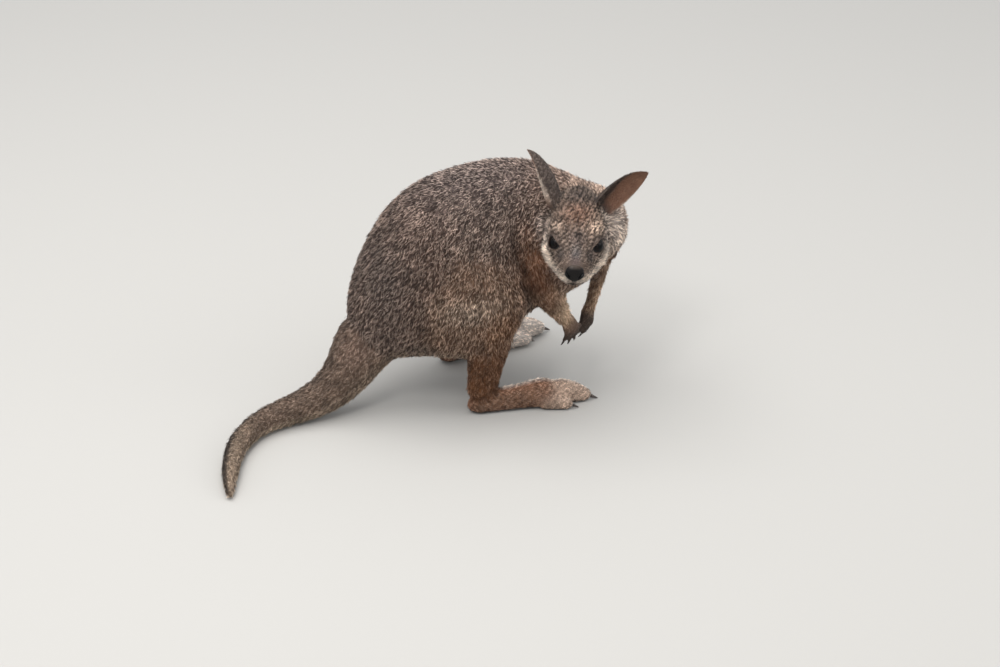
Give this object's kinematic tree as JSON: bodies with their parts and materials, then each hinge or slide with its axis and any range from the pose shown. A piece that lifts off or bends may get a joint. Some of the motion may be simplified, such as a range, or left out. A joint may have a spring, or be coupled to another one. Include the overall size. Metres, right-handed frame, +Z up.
{
  "type": "wallaby",
  "caption": "Crouched wallaby with a rounded back, long hind feet flat on the floor, raised hands, head turned to its right side and a thick tail curled on the floor.",
  "frame": {"origin": "bottom centre of the bounding box, on the floor", "axes": "+X the way the hind quarters face, +Y to the animal's left, +Z up"},
  "size_m": [0.4902, 0.245, 0.3013],
  "materials": {
    "coat_back": "salt-and-pepper dark grey-brown fur",
    "coat_flank": "grizzled grey-brown fur",
    "coat_tail": "short dark fur above, buff below",
    "coat_rufous": "warm brown short fur",
    "coat_foot": "short buff-grey fur",
    "claw": "polished black horn",
    "coat_face": "short brown-grey fur with pale cheeks",
    "nose_skin": "bare black skin, finely pitted",
    "eye": "wet near-black cornea",
    "coat_ear": "thin short-haired skin",
    "coat_hand": "short near-black fur"
  },
  "bodies": {
    "root": {"rump": "coat_back", "belly": "coat_back", "chest": "coat_flank", "tail_1": "coat_tail", "tail_2": "coat_tail", "tail_3": "coat_tail", "tail_4": "coat_tail", "tail_5": "coat_tail", "thigh_right": "coat_flank", "shank_right": "coat_rufous", "foot_right": "coat_foot", "toe_fourth_right": "coat_foot", "toe_fifth_right": "coat_foot", "toes_second_third_right": "coat_foot", "claw_fourth_right": "claw", "claw_fifth_right": "claw", "claw_third_right": "claw", "claw_second_right": "claw", "thigh_left": "coat_flank", "shank_left": "coat_rufous", "foot_left": "coat_foot", "toe_fourth_left": "coat_foot", "toe_fifth_left": "coat_foot", "toes_second_third_left": "coat_foot", "claw_fourth_left": "claw", "claw_fifth_left": "claw", "claw_third_left": "claw", "claw_second_left": "claw", "neck": "coat_rufous", "head": "coat_face", "nose": "nose_skin", "eye_right": "eye", "ear_right": "coat_ear", "eye_left": "eye", "ear_left": "coat_ear", "upper_arm_right": "coat_rufous", "forearm_right": "coat_rufous", "hand_right": "coat_hand", "hand_claw_1_right": "claw", "hand_claw_2_right": "claw", "hand_claw_3_right": "claw", "hand_claw_4_right": "claw", "hand_claw_5_right": "claw", "upper_arm_left": "coat_rufous", "forearm_left": "coat_rufous", "hand_left": "coat_hand", "hand_claw_1_left": "claw", "hand_claw_2_left": "claw", "hand_claw_3_left": "claw", "hand_claw_4_left": "claw", "hand_claw_5_left": "claw"}
  },
  "joints": []
}
